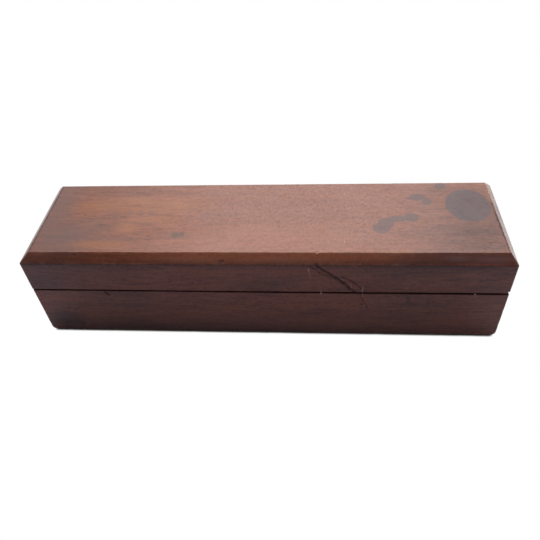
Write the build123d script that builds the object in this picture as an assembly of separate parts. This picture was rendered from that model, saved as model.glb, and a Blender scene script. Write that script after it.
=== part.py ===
from build123d import *

import os

# A bench oilstone in its two-part hardwood case.
#
# The case is two blocks of mahogany, a base and a lift-off lid, each with a pocket
# chopped out of its inside. The base's pocket holds a two-grit stone between two
# end blocks, and steel points under the base keep it from sliding on a bench.
#
# Millimetres. X runs along the case, Z is up, and the origin is on the bench top
# under the middle of the case, where the tips of the steel points stand.

# ---- Driving dimensions ----

# Case, outside
case_length = 254.0
case_width = 63.5
base_height = 35.0
lid_height = 25.5
lid_bevel = 4.8  # the 45 degree bevel round the top of the lid
end_radius = 3.0  # the rounding under each end of the base
arris = 0.7  # easing of the upright corners and of the long bottom edges
rim_arris = 0.35  # easing of the rims where lid and base meet

# Stone: two grits bonded face to face
stone_length = 203.2
stone_width = 50.8
grit_thickness = 12.7  # of each of the two layers
stone_arris = 0.8

# Pockets
pocket_depth = 16.0  # in the base
side_play = 0.2  # between the stone and each side of the base's pocket
end_play = 0.25  # between the stone and each end block
mouth_arris = 0.4  # easing of the pocket mouths
lid_side_play = 0.9  # between the stone and each side of the lid's pocket
lid_end_play = 0.8  # between an end block and the lid's pocket
lid_top_play = 1.6  # between the top of the stone and the lid's pocket

# End blocks, end grain up
end_block_length = 12.0
end_block_drop = 0.4  # how far their tops lie below the stone
end_block_arris = 0.6

# Steel points: wire brads driven in from below, cropped and filed sharp
point_radius = 0.8
point_tip_radius = 0.2
point_stand = 0.8  # how far they stand out of the base
point_grip = 11.0  # how far they go into the wood
point_inset_x = 17.0  # from each end of the case
point_inset_y = 10.0  # from each long side of the case

# ---- Worked-out sizes and heights ----

stone_height = 2 * grit_thickness
pocket_length = stone_length + 2 * (end_play + end_block_length)
pocket_width = stone_width + 2 * side_play
lid_pocket_length = pocket_length + 2 * lid_end_play
lid_pocket_width = stone_width + 2 * lid_side_play

underside = point_stand
rim = underside + base_height
lid_top = rim + lid_height
pocket_floor = rim - pocket_depth
stone_top = pocket_floor + stone_height
lid_pocket_depth = stone_top + lid_top_play - rim


def block(length, width, height, bottom):
    """A plain block standing on the height bottom, centred on the Z axis."""
    box = Box(length, width, height, align=(Align.CENTER, Align.CENTER, Align.MIN))
    return Pos(0, 0, bottom) * box


def corner_edges(solid, length, width):
    """The upright edges at the four corners of a length by width outline."""
    corners = ShapeList()
    for edge in solid.edges().filter_by(Axis.Z):
        middle = edge.center()
        if abs(abs(middle.X) - length / 2) < 0.01 and abs(abs(middle.Y) - width / 2) < 0.01:
            corners.append(edge)
    return corners


def mouth_edges(solid, length, width, height):
    """The level edges at a height round a length by width pocket mouth."""
    found = ShapeList()
    for edge in solid.edges():
        middle = edge.center()
        on_end = abs(abs(middle.X) - length / 2) < 0.01 and abs(middle.Y) < 0.01
        on_side = abs(abs(middle.Y) - width / 2) < 0.01 and abs(middle.X) < 0.01
        if abs(middle.Z - height) < 0.01 and (on_end or on_side):
            found.append(edge)
    return found


def hip_edges(solid):
    """The four sloping edges where the bevels of the lid meet."""
    slopes = ShapeList()
    for edge in solid.edges():
        run = edge.bounding_box().size
        if min(run.X, run.Y, run.Z) > lid_bevel / 2:
            slopes.append(edge)
    return slopes


def bottom_end_edges(solid):
    """The two bottom edges across the ends of the case."""
    bottom = solid.faces().sort_by(Axis.Z)[0]
    return ShapeList([edge for edge in bottom.edges() if abs(edge.center().X) > 1])


def side_outline_edges(solid):
    """The edges round the two long sides of the base, apart from those at the rim."""
    sides = solid.faces().filter_by(Axis.Y)
    edges = ShapeList([edge for face in sides for edge in face.edges()])
    return ShapeList([edge for edge in edges if edge.center().Z < rim - 0.01])


def point_places():
    """Where the steel points are, in X and Y."""
    x = case_length / 2 - point_inset_x
    y = case_width / 2 - point_inset_y
    return [(side * x, edge * y) for side in (-1, 1) for edge in (-1, 1)]


def make_base():
    """The lower block: pocket for the stone, eased edges and holes for the points."""
    base = block(case_length, case_width, base_height, underside)
    base = fillet(bottom_end_edges(base), end_radius)
    base = chamfer(side_outline_edges(base), arris)
    base = chamfer(base.faces().sort_by(Axis.Z)[-1].edges(), rim_arris)
    base -= block(pocket_length, pocket_width, pocket_depth, pocket_floor)
    base = chamfer(mouth_edges(base, pocket_length, pocket_width, rim), mouth_arris)
    for x, y in point_places():
        base -= Pos(x, y, underside + point_grip / 2) * Cylinder(point_radius, point_grip)
    return base


def make_lid():
    """The upper block: bevelled top, pocket over the stone and eased edges."""
    lid = block(case_length, case_width, lid_height, rim)
    lid = chamfer(lid.faces().sort_by(Axis.Z)[-1].edges(), lid_bevel)
    lid = chamfer(corner_edges(lid, case_length, case_width) + hip_edges(lid), arris)
    lid = chamfer(lid.faces().sort_by(Axis.Z)[0].edges(), rim_arris)
    lid -= block(lid_pocket_length, lid_pocket_width, lid_pocket_depth, rim)
    return chamfer(mouth_edges(lid, lid_pocket_length, lid_pocket_width, rim), mouth_arris)


def make_grit_layer(bottom, worn_face):
    """One layer of the stone, with its corners and the edges of its outer face eased."""
    layer = block(stone_length, stone_width, grit_thickness, bottom)
    layer = chamfer(corner_edges(layer, stone_length, stone_width), stone_arris)
    outer_face = layer.faces().filter_by(Axis.Z).sort_by(Axis.Z)[worn_face]
    return chamfer(outer_face.edges(), stone_arris / 2)


def make_end_block(side):
    """One end block, glued in the pocket at the left (-1) or right (1) of the stone."""
    height = stone_height - end_block_drop
    centre_x = side * (pocket_length - end_block_length) / 2
    piece = Pos(centre_x, 0, 0) * block(end_block_length, pocket_width, height, pocket_floor)
    return chamfer(piece.faces().sort_by(Axis.Z)[-1].edges(), end_block_arris)


def make_points():
    """The steel points: four brads with filed tips, one solid each."""
    profile = Polyline(
        (0, point_stand + point_grip),
        (0, 0),
        (point_tip_radius, 0),
        (point_radius, point_stand),
        (point_radius, point_stand + point_grip),
        close=True,
    )
    point = revolve(Plane.XZ * make_face(profile), Axis.Z)
    return Compound(children=[Pos(x, y, 0) * point for x, y in point_places()])


parts = {
    "base_block": make_base(),
    "lid_block": make_lid(),
    "coarse_grit_layer": make_grit_layer(pocket_floor, 0),
    "fine_grit_layer": make_grit_layer(pocket_floor + grit_thickness, -1),
    "end_block_left": make_end_block(-1),
    "end_block_right": make_end_block(1),
    "bench_points": make_points(),
}

os.makedirs("parts", exist_ok=True)
for name, shape in parts.items():
    export_step(shape, f"parts/{name}.step")
    print(name, "volume", round(shape.volume), "solids", len(shape.solids()))
print("case", case_length, case_width, lid_top, "walls", (case_width - pocket_width) / 2)
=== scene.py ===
import math
import random

import bpy
import numpy as np
from mathutils import Matrix, Vector, noise


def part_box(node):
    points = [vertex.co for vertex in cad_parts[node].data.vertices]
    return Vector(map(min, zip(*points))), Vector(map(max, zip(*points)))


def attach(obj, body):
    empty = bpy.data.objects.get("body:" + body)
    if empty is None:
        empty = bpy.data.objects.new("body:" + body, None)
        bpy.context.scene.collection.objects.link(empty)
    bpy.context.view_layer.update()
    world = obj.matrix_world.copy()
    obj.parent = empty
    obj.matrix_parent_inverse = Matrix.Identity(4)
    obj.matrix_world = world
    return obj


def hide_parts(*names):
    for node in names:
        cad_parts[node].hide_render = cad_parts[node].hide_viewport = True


# A bench sharpening stone in its two-part mahogany case.
# Shapes are worked out in millimetres in the frame's own axes and turned into metres as they are stored.

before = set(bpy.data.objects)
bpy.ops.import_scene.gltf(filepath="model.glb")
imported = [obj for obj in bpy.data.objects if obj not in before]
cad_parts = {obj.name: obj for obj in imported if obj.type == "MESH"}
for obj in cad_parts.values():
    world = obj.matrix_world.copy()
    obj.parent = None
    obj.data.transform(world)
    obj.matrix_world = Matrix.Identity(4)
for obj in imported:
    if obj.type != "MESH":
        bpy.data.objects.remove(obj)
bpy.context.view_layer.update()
print("frame loaded:", sorted(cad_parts))

mm = 0.001


def boxOf(node):
    low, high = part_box(node)
    return np.array(low) / mm, np.array(high) / mm


baseLow, baseHigh = boxOf("base_block")
lidLow, lidHigh = boxOf("lid_block")

caseX, caseY = lidHigh[0], lidHigh[1]  # half the length and width of the case
woodZ = baseLow[2]  # underside of the wood; the tips of the steel points are at 0
rimZ = baseHigh[2]
topZ = lidHigh[2]
floorZ = boxOf("coarse_grit_layer")[0][2]  # floor of the base's pocket
pocketX, pocketY = boxOf("end_block_right")[1][:2]  # half the length and width of that pocket
bevel = 4.8  # bevel round the lid's top


def onTop(x, y):
    return (x, y, topZ)


def onFront(x, height):
    return (x, -caseY, woodZ + height)


def onBevel(x, down):
    return (x, -caseY + bevel - down, topZ - down)


def through(face, *spots):
    # a path on one of these faces
    return [face(*spot) for spot in spots]


# shapes


def stations(half, coarse, fine, zones, fade=3.0):
    # places from -1 to 1 along an edge, closer together at the ends and in each zone (centre, reach)
    along = np.linspace(-half, half, 6001)
    spacing = np.full_like(along, coarse)
    for centre, reach in [(-half, 0.8), (half, 0.8)] + list(zones):
        near = np.clip(1 - (np.abs(along - centre) - reach) / fade, 0, 1)
        spacing = np.minimum(spacing, coarse + (fine - coarse) * near)
    count = np.concatenate([[0], np.cumsum(np.diff(along) / spacing[1:])])
    steps = np.linspace(0, count[-1], int(count[-1]) + 2)
    return np.interp(steps, count, along) / half


def profileRows(corners, steps):
    # corners: (inset X, inset Y, height, easing, upright corner radius), eased and joined by straight runs
    corners = [np.array(corner, float) for corner in corners]
    rows = []
    for index in range(1, len(corners) - 1):
        here = corners[index]
        ends = []
        for other in (corners[index - 1], corners[index + 1]):
            run = other[:3] - here[:3]
            sizeX = math.hypot(run[0], run[2])
            sizeY = math.hypot(run[1], run[2])
            size = np.maximum([sizeX, sizeY, max(sizeX, sizeY)], 1e-9)
            ends.append(here[:3] + run / size * here[3])
        if rows:
            start = rows[-1][:3]
            startRadius = rows[-1][3]
            count = max(1, math.ceil(np.linalg.norm((ends[0] - start)[1:]) / steps[index - 1]))
            for step in range(1, count):
                share = step / count
                radius = startRadius + (here[4] - startRadius) * share
                rows.append([*(start + (ends[0] - start) * share), radius])
        for share in (0, 0.25, 0.5, 0.75, 1):
            curve = (1 - share) ** 2 * ends[0] + 2 * share * (1 - share) * here[:3] + share**2 * ends[1]
            rows.append([*curve, here[4]])
    return rows


def roundCorners(x, y, halfX, halfY, radius):
    # squashes the square corners of a rectangle onto quarter circles
    inX, inY = halfX - radius, halfY - radius
    overX, overY = np.abs(x) - inX, np.abs(y) - inY
    both = (overX > 0) & (overY > 0)
    reach = np.where(both, np.hypot(overX, overY), 1.0)
    squash = np.where(both, np.maximum(overX, overY) / np.maximum(reach, 1e-9), 1.0)
    x = np.where(both, np.sign(x) * (inX + overX * squash), x)
    y = np.where(both, np.sign(y) * (inY + overY * squash), y)
    return x, y


def storeMesh(name, points, faces):
    mesh = bpy.data.meshes.new(name)
    mesh.vertices.add(len(points))
    mesh.vertices.foreach_set("co", (points * mm).ravel())
    mesh.loops.add(faces.size)
    mesh.loops.foreach_set("vertex_index", faces.ravel())
    mesh.polygons.add(len(faces))
    mesh.polygons.foreach_set("loop_start", np.arange(0, faces.size, 4))
    mesh.polygons.foreach_set("use_smooth", np.ones(len(faces), bool))
    mesh.update(calc_edges=True)
    piece = bpy.data.objects.new(name, mesh)
    bpy.context.scene.collection.objects.link(piece)
    return piece


def shell(name, xs, ys, rows, halfX, halfY, centreX=0.0, faceUp=True):
    # a closed skin: a plate, rings down its sides, and a plate that closes it, inside or out
    nx, ny = len(xs), len(ys)
    ring = np.array(
        [(i, 0) for i in range(nx - 1)]
        + [(nx - 1, j) for j in range(ny - 1)]
        + [(i, ny - 1) for i in range(nx - 1, 0, -1)]
        + [(0, j) for j in range(ny - 1, 0, -1)]
    )
    gridX, gridY = np.meshgrid(xs, ys, indexing="ij")
    points, indexes = [], []
    count = 0
    for number, (insetX, insetY, height, radius) in enumerate(rows):
        reachX, reachY = halfX - insetX, halfY - insetY
        if number in (0, len(rows) - 1):
            x, y = gridX.ravel() * reachX, gridY.ravel() * reachY
            indexes.append(count + ring[:, 0] * ny + ring[:, 1])
        else:
            x, y = xs[ring[:, 0]] * reachX, ys[ring[:, 1]] * reachY
            indexes.append(count + np.arange(len(ring)))
        x, y = roundCorners(x, y, reachX, reachY, radius)
        points.append(np.stack([x + centreX, y, np.full_like(x, height)], 1))
        count += len(x)
    corner = (np.arange(nx - 1)[:, None] * ny + np.arange(ny - 1)[None, :]).ravel()
    plate = np.stack([corner, corner + ny, corner + ny + 1, corner + 1], 1)
    faces = [plate]
    for upper, lower in zip(indexes, indexes[1:]):
        faces.append(np.stack([upper, lower, np.roll(lower, -1), np.roll(upper, -1)], 1))
    faces.append(plate[:, ::-1] + (count - nx * ny))
    faces = np.concatenate(faces)
    return storeMesh(name, np.concatenate(points), faces if faceUp else faces[:, ::-1])


def readPoints(piece):
    points = np.zeros(len(piece.data.vertices) * 3)
    piece.data.vertices.foreach_get("co", points)
    normals = np.zeros(len(points))
    piece.data.vertex_normals.foreach_get("vector", normals)
    return points.reshape(-1, 3) / mm, normals.reshape(-1, 3)


def startPiece(name, look, rows, halfX, halfY, centreX=0.0, faceUp=True):
    coarse, fine = look["spacing"]
    xs = stations(halfX, coarse, fine, look.get("closeZones", []))
    ys = stations(halfY, coarse, fine, [])
    piece = shell(name, xs, ys, rows, halfX, halfY, centreX, faceUp)
    return piece, *readPoints(piece)


def finishPiece(piece, points, low, high, **masks):
    # stores the shape, kept inside the frame's box, and the masks that its material reads by name
    piece.data.vertices.foreach_set("co", (np.clip(points, low, high) * mm).ravel())
    piece.data.update()
    for name, values in masks.items():
        layer = piece.data.attributes.new(name, "FLOAT", "POINT")
        layer.data.foreach_set("value", np.clip(values, 0, 1).astype(np.float32))


def unevenness(points, size, seed, octaves=2):
    # smooth noise from about -1 to 1, with bumps of the given size along X, Y and Z
    places = points / np.array(size) + np.array([seed * 7.3, seed * 3.1, seed * 5.7])
    total = np.zeros(len(points))
    for octave in range(octaves):
        total += np.array([noise.noise(Vector(place)) for place in places * 2**octave]) / 2**octave
    return total


def distanceTo(points, path):
    # how far each point is from a line of straight runs, and where along the line, from 0 to 1
    best = np.full(len(points), 1e9)
    along = np.zeros(len(points))
    path = [np.array(place, float) for place in path]
    for number, (start, end) in enumerate(zip(path, path[1:])):
        run = end - start
        share = np.clip((points - start) @ run / max(run @ run, 1e-9), 0, 1)
        distance = np.linalg.norm(points - start - share[:, None] * run, axis=1)
        closer = distance < best
        best = np.where(closer, distance, best)
        along = np.where(closer, (number + share) / (len(path) - 1), along)
    return best, along


def levelEdges(halfX, halfY, height, centreX=0.0):
    corners = [(-halfX, -halfY), (halfX, -halfY), (halfX, halfY), (-halfX, halfY)]
    corners = [(x + centreX, y, height) for x, y in corners]
    return list(zip(corners, corners[1:] + corners[:1]))


def uprightEdges(halfX, halfY, low, high, lean=0.0, centreX=0.0):
    edges = []
    for sideX in (-1, 1):
        for sideY in (-1, 1):
            foot = (sideX * halfX + centreX, sideY * halfY, low)
            head = (sideX * (halfX - lean) + centreX, sideY * (halfY - lean), high)
            edges.append((foot, head))
    return edges


def nearEdges(points, edges, reach):
    closest = np.full(len(points), 1e9)
    for edge in edges:
        closest = np.minimum(closest, distanceTo(points, edge)[0])
    return np.exp(-((closest / reach) ** 2))


def scoop(points, centre, radius):
    # pushes points out of a ball, the way a knock takes a chip off an edge
    away = points - np.array(centre)
    distance = np.linalg.norm(away, axis=1)
    inside = distance < radius
    away[inside] *= (radius / np.maximum(distance[inside], 1e-6))[:, None]
    return np.where(inside[:, None], np.array(centre) + away, points)


def chip(points, place, outward, radius, depth):
    outward = np.array(outward, float)
    outward /= np.linalg.norm(outward)
    return scoop(points, np.array(place) + outward * (radius - depth), radius)


def edgeKnocks(points, edges, low, high, look, seed):
    # small chips and bruises along the arrises, at places drawn from a seeded list
    draw = random.Random(seed)
    middle, half = (low + high) / 2, (high - low) / 2
    lengths = [math.dist(start, end) for start, end in edges]
    for _ in range(look["knocks"]):
        start, end = draw.choices(edges, lengths)[0]
        place = np.array(start) + draw.random() * (np.array(end) - np.array(start))
        outward = ((place - middle) / half) ** 9  # leaves only the directions in which the place is outermost
        radius = draw.uniform(*look["knockRadius"])
        depth = draw.uniform(*look["knockDepth"])
        points = chip(points, place, outward, radius, depth)
    return points


def wornSag(points, arris, look, seed):
    # how far the surface lies under a true one: no face is quite flat, and arrises are rubbed unevenly
    sag = look["waviness"] * (0.5 + 0.5 * unevenness(points, look["waveSize"], seed, look["waveOctaves"]))
    return sag + look["rub"] * arris * np.clip(unevenness(points, [look["rubPatch"]] * 3, seed + 1), 0, 1)


# shader building


def addNode(tree, kind, inputs, **settings):
    node = tree.nodes.new("ShaderNode" + kind)
    for name, value in settings.items():
        setattr(node, name, value)
    for name, value in inputs.items():
        join(tree, value, node.inputs[name])
    return node


def join(tree, value, socket):
    if isinstance(value, bpy.types.NodeSocket):
        tree.links.new(value, socket)
    else:
        socket.default_value = value


def calc(tree, operation, *values, clamp=False):
    return addNode(tree, "Math", dict(enumerate(values)), operation=operation, use_clamp=clamp).outputs[0]


def vectorCalc(tree, operation, *values):
    node = addNode(tree, "VectorMath", dict(enumerate(values)), operation=operation)
    return node.outputs["Value" if operation in ("LENGTH", "DOT_PRODUCT") else "Vector"]


def scaled(tree, vector, scale):
    return addNode(tree, "VectorMath", {0: vector, "Scale": scale}, operation="SCALE").outputs["Vector"]


def stretched(tree, vector, stretch):
    return vectorCalc(tree, "MULTIPLY", vector, stretch)


def remap(tree, value, fromLow, fromHigh, toLow=0.0, toHigh=1.0, smooth=False):
    names = ("Value", "From Min", "From Max", "To Min", "To Max")
    inputs = dict(zip(names, (value, fromLow, fromHigh, toLow, toHigh)))
    kind = "SMOOTHSTEP" if smooth else "LINEAR"
    return addNode(tree, "MapRange", inputs, interpolation_type=kind).outputs["Result"]


def mixColor(tree, factor, first, second, blend="MIX"):
    inputs = {0: factor, 6: first, 7: second}
    return addNode(tree, "Mix", inputs, data_type="RGBA", blend_type=blend).outputs[2]


def noiseOf(tree, vector, detail=2.0, rough=0.5, output="Fac"):
    inputs = {"Vector": vector, "Scale": 1.0, "Detail": detail, "Roughness": rough}
    return addNode(tree, "TexNoise", inputs).outputs[output]


def swing(tree, value, amount, start=0.5):
    # start + amount * (value - 0.5), for adding one pattern to another
    return calc(tree, "MULTIPLY_ADD", calc(tree, "SUBTRACT", value, 0.5), amount, start)


def startGroup(name, inputs, outputs):
    # inputs: {name: (socket kind, default)}, outputs: {name: socket kind}
    group = bpy.data.node_groups.new(name, "ShaderNodeTree")
    for label, (kind, default) in inputs.items():
        socket = group.interface.new_socket(label, in_out="INPUT", socket_type="NodeSocket" + kind)
        if default is not None:
            socket.default_value = default
    for label, kind in outputs.items():
        group.interface.new_socket(label, in_out="OUTPUT", socket_type="NodeSocket" + kind)
    return group, group.nodes.new("NodeGroupInput").outputs, group.nodes.new("NodeGroupOutput").inputs


def place(tree, group, inputs):
    node = tree.nodes.new("ShaderNodeGroup")
    node.node_tree = group
    for name, value in inputs.items():
        join(tree, value, node.inputs[name])
    return node.outputs


def rgb(red, green, blue):
    return (red, green, blue, 1.0)


def woodGrainGroup():
    # the grain runs along the vector's X; the vector is in millimetres, and each stretch below is
    # about how often its pattern comes back in a millimetre, along the grain and across it
    group, inside, out = startGroup(
        "woodGrain",
        {
            "Vector": ("Vector", None),
            "Seed": ("Float", 0.0),
            "Light Wood": ("Color", rgb(0.3, 0.13, 0.08)),
            "Dark Wood": ("Color", rgb(0.16, 0.07, 0.05)),
            "Pore Color": ("Color", rgb(0.05, 0.025, 0.02)),
            "Bands": ("Float", 0.6),
            "Streaks": ("Float", 0.9),
            "Flecks": ("Float", 0.9),
            "Ripple": ("Float", 0.3),
            "Pores": ("Float", 0.5),
        },
        {"Color": "Color", "Pore Mask": "Float", "Height": "Float"},
    )
    start = vectorCalc(group, "ADD", inside["Vector"], scaled(group, (37.1, 11.7, 23.9), inside["Seed"]))

    # the grain wanders a little from the straight
    wander = noiseOf(group, stretched(group, start, (0.011, 0.022, 0.022)), 1.5, output="Color")
    wander = stretched(group, vectorCalc(group, "SUBTRACT", wander, (0.5, 0.5, 0.5)), (0.0, 16.0, 16.0))
    line = vectorCalc(group, "ADD", start, wander)

    bands = noiseOf(group, stretched(group, line, (0.008, 0.13, 0.13)), 2.0)
    streaks = noiseOf(group, stretched(group, line, (0.05, 0.65, 0.65)), 3.0, 0.6)
    flecks = noiseOf(group, stretched(group, line, (0.30, 1.5, 1.5)), 3.0, 0.7)
    fibres = noiseOf(group, stretched(group, line, (0.16, 3.1, 3.1)), 2.0, 0.6)
    dashes = noiseOf(group, stretched(group, line, (0.34, 1.9, 1.9)), 2.0, 0.5)
    pores = remap(group, dashes, 0.58, 0.70, smooth=True)

    # ripple figure: short soft bars that lie across the grain
    slant = addNode(group, "VectorRotate", {"Vector": start, "Angle": 0.3}, rotation_type="Z_AXIS")
    ripple = noiseOf(group, stretched(group, slant.outputs["Vector"], (0.85, 0.40, 0.40)), 2.0, 0.6)

    tone = swing(group, bands, calc(group, "MULTIPLY", inside["Bands"], 2.0))
    tone = swing(group, streaks, calc(group, "MULTIPLY", inside["Streaks"], 2.0), tone)
    tone = swing(group, flecks, calc(group, "MULTIPLY", inside["Flecks"], 2.0), tone)
    tone = swing(group, ripple, calc(group, "MULTIPLY", inside["Ripple"], 2.0), tone)
    tone = calc(group, "ADD", tone, 0.0, clamp=True)
    color = mixColor(group, tone, inside["Dark Wood"], inside["Light Wood"])
    poreMask = calc(group, "MULTIPLY", pores, inside["Pores"])
    color = mixColor(group, poreMask, color, inside["Pore Color"])

    join(group, color, out["Color"])
    join(group, poreMask, out["Pore Mask"])
    sunk = calc(group, "MULTIPLY", pores, -1.0)
    join(group, calc(group, "MULTIPLY_ADD", fibres, 0.35, sunk), out["Height"])
    return group


def softSpotGroup():
    # an ellipsoid: 1 inside, 0 outside
    group, inside, out = startGroup(
        "softSpot",
        {
            "Vector": ("Vector", None),
            "Centre": ("Vector", (0, 0, 0)),
            "Reach": ("Vector", (1, 1, 1)),
            "Softness": ("Float", 0.1),
        },
        {"Mask": "Float"},
    )
    away = vectorCalc(group, "SUBTRACT", inside["Vector"], inside["Centre"])
    distance = vectorCalc(group, "LENGTH", vectorCalc(group, "DIVIDE", away, inside["Reach"]))
    low = calc(group, "SUBTRACT", 1.0, inside["Softness"])
    high = calc(group, "ADD", 1.0, inside["Softness"])
    join(group, remap(group, distance, low, high, 1.0, 0.0, smooth=True), out["Mask"])
    return group


def scoreMarkGroup():
    # a scratch or cut from one place to another, thinner towards its ends
    group, inside, out = startGroup(
        "scoreMark",
        {
            "Vector": ("Vector", None),
            "Start": ("Vector", (0, 0, 0)),
            "End": ("Vector", (1, 0, 0)),
            "Half Width": ("Float", 0.5),
            "Taper": ("Float", 0.6),
        },
        {"Mask": "Float"},
    )
    away = vectorCalc(group, "SUBTRACT", inside["Vector"], inside["Start"])
    run = vectorCalc(group, "SUBTRACT", inside["End"], inside["Start"])
    along = vectorCalc(group, "DOT_PRODUCT", away, run)
    share = calc(group, "DIVIDE", along, vectorCalc(group, "DOT_PRODUCT", run, run), clamp=True)
    distance = vectorCalc(group, "LENGTH", vectorCalc(group, "SUBTRACT", away, scaled(group, run, share)))
    fromMiddle = calc(group, "ABSOLUTE", calc(group, "MULTIPLY_ADD", share, 2.0, -1.0))
    narrow = calc(group, "MULTIPLY", calc(group, "POWER", fromMiddle, 2.0), inside["Taper"])
    width = calc(group, "MULTIPLY", inside["Half Width"], calc(group, "SUBTRACT", 1.0, narrow))
    mask = remap(group, calc(group, "DIVIDE", distance, width), 0.35, 1.2, 1.0, 0.0, smooth=True)
    join(group, mask, out["Mask"])
    return group


def edgeWearGroup():
    # breaks an even mask along the arrises up into rubbed and bruised stretches
    group, inside, out = startGroup(
        "edgeWear",
        {
            "Vector": ("Vector", None),
            "Arris": ("Float", 0.0),
            "Amount": ("Float", 0.5),
            "Patch Size": ("Float", 6.0),
        },
        {"Mask": "Float"},
    )
    vector = scaled(group, inside["Vector"], calc(group, "DIVIDE", 1.0, inside["Patch Size"]))
    keep = remap(group, noiseOf(group, vector, 4.0, 0.65), 0.42, 0.68, smooth=True)
    worn = calc(group, "MULTIPLY", inside["Arris"], keep)
    join(group, calc(group, "MULTIPLY", worn, inside["Amount"], clamp=True), out["Mask"])
    return group


def fineScratchesGroup():
    # a haze of hairline scratches, mostly along X
    group, inside, out = startGroup(
        "fineScratches",
        {"Vector": ("Vector", None), "Amount": ("Float", 0.5)},
        {"Mask": "Float"},
    )
    total = 0.0
    for turn, stretch in ((0.12, 0.05), (-0.35, 0.09), (0.9, 0.11)):
        spin = {"Vector": inside["Vector"], "Angle": turn}
        spun = addNode(group, "VectorRotate", spin, rotation_type="Z_AXIS")
        hair = noiseOf(group, stretched(group, spun.outputs["Vector"], (stretch, 5.0, 5.0)), 1.0, 0.3)
        total = calc(group, "MAXIMUM", remap(group, hair, 0.69, 0.74), total)
    join(group, calc(group, "MULTIPLY", total, inside["Amount"]), out["Mask"])
    return group


def oilSoakGroup():
    # clouds of oil with drawn-out edges, where bare wood or stone has drunk it
    group, inside, out = startGroup(
        "oilSoak",
        {
            "Vector": ("Vector", None),
            "Seed": ("Float", 0.0),
            "Cover": ("Float", 0.5),
        },
        {"Mask": "Float"},
    )
    start = vectorCalc(group, "ADD", inside["Vector"], scaled(group, (13.7, 41.3, 7.9), inside["Seed"]))
    clouds = noiseOf(group, stretched(group, start, (0.035, 0.06, 0.06)), 5.0, 0.62)
    middle = calc(group, "SUBTRACT", 0.75, calc(group, "MULTIPLY", inside["Cover"], 0.5))
    low, high = calc(group, "SUBTRACT", middle, 0.12), calc(group, "ADD", middle, 0.12)
    join(group, remap(group, clouds, low, high, smooth=True), out["Mask"])
    return group


woodGrain = woodGrainGroup()
softSpot = softSpotGroup()
scoreMark = scoreMarkGroup()
edgeWear = edgeWearGroup()
fineScratches = fineScratchesGroup()
oilSoak = oilSoakGroup()
print("shader groups built")


def startMaterial(name):
    material = bpy.data.materials.new(name)
    material.use_nodes = True
    tree = material.node_tree
    tree.nodes.clear()
    shader = addNode(tree, "BsdfPrincipled", {})
    addNode(tree, "OutputMaterial", {"Surface": shader.outputs["BSDF"]})
    point = scaled(tree, addNode(tree, "TexCoord", {}).outputs["Object"], 1 / mm)
    return material, tree, shader.inputs, point


def attribute(tree, name):
    return addNode(tree, "Attribute", {}, attribute_name=name).outputs["Fac"]


def wearMask(tree, point, look):
    amount, patchSize = look["wear"]
    inputs = {"Vector": point, "Arris": attribute(tree, "arris"), "Amount": amount, "Patch Size": patchSize}
    return place(tree, edgeWear, inputs)["Mask"]


def bump(tree, height, strength, depth):
    inputs = {"Height": height, "Strength": strength, "Distance": depth * mm}
    return addNode(tree, "Bump", inputs).outputs["Normal"]


def ragged(tree, point, scale, amount):
    # a copy of the position with a shaken outline, for stains and cuts
    shake = noiseOf(tree, scaled(tree, point, scale), 3.0, 0.6, "Color")
    shake = scaled(tree, vectorCalc(tree, "SUBTRACT", shake, (0.5, 0.5, 0.5)), amount)
    return vectorCalc(tree, "ADD", point, shake)


def spotMask(tree, vector, spots):
    # spots: (centre, reach, softness)
    total = 0.0
    for centre, reach, softness in spots:
        inputs = {"Vector": vector, "Centre": centre, "Reach": reach, "Softness": softness}
        total = calc(tree, "MAXIMUM", place(tree, softSpot, inputs)["Mask"], total)
    return total


def markMask(tree, vector, marks):
    # marks: (path, half width, taper, strength)
    total = 0.0
    for path, halfWidth, taper, strength in marks:
        for start, end in zip(path, path[1:]):
            inputs = {"Vector": vector, "Start": start, "End": end, "Half Width": halfWidth, "Taper": taper}
            mask = calc(tree, "MULTIPLY", place(tree, scoreMark, inputs)["Mask"], strength)
            total = calc(tree, "MAXIMUM", mask, total)
    return total


def patch(color, strength, spots, blend="MIX"):
    # wood of another tone, inside soft spots
    return {"color": color, "strength": strength, "spots": spots, "blend": blend}


def addPatches(tree, color, vector, patches):
    for patched in patches:
        mask = calc(tree, "MULTIPLY", spotMask(tree, vector, patched["spots"]), patched["strength"])
        color = mixColor(tree, mask, color, patched["color"], patched["blend"])
    return color


# the wood of both blocks

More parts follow.
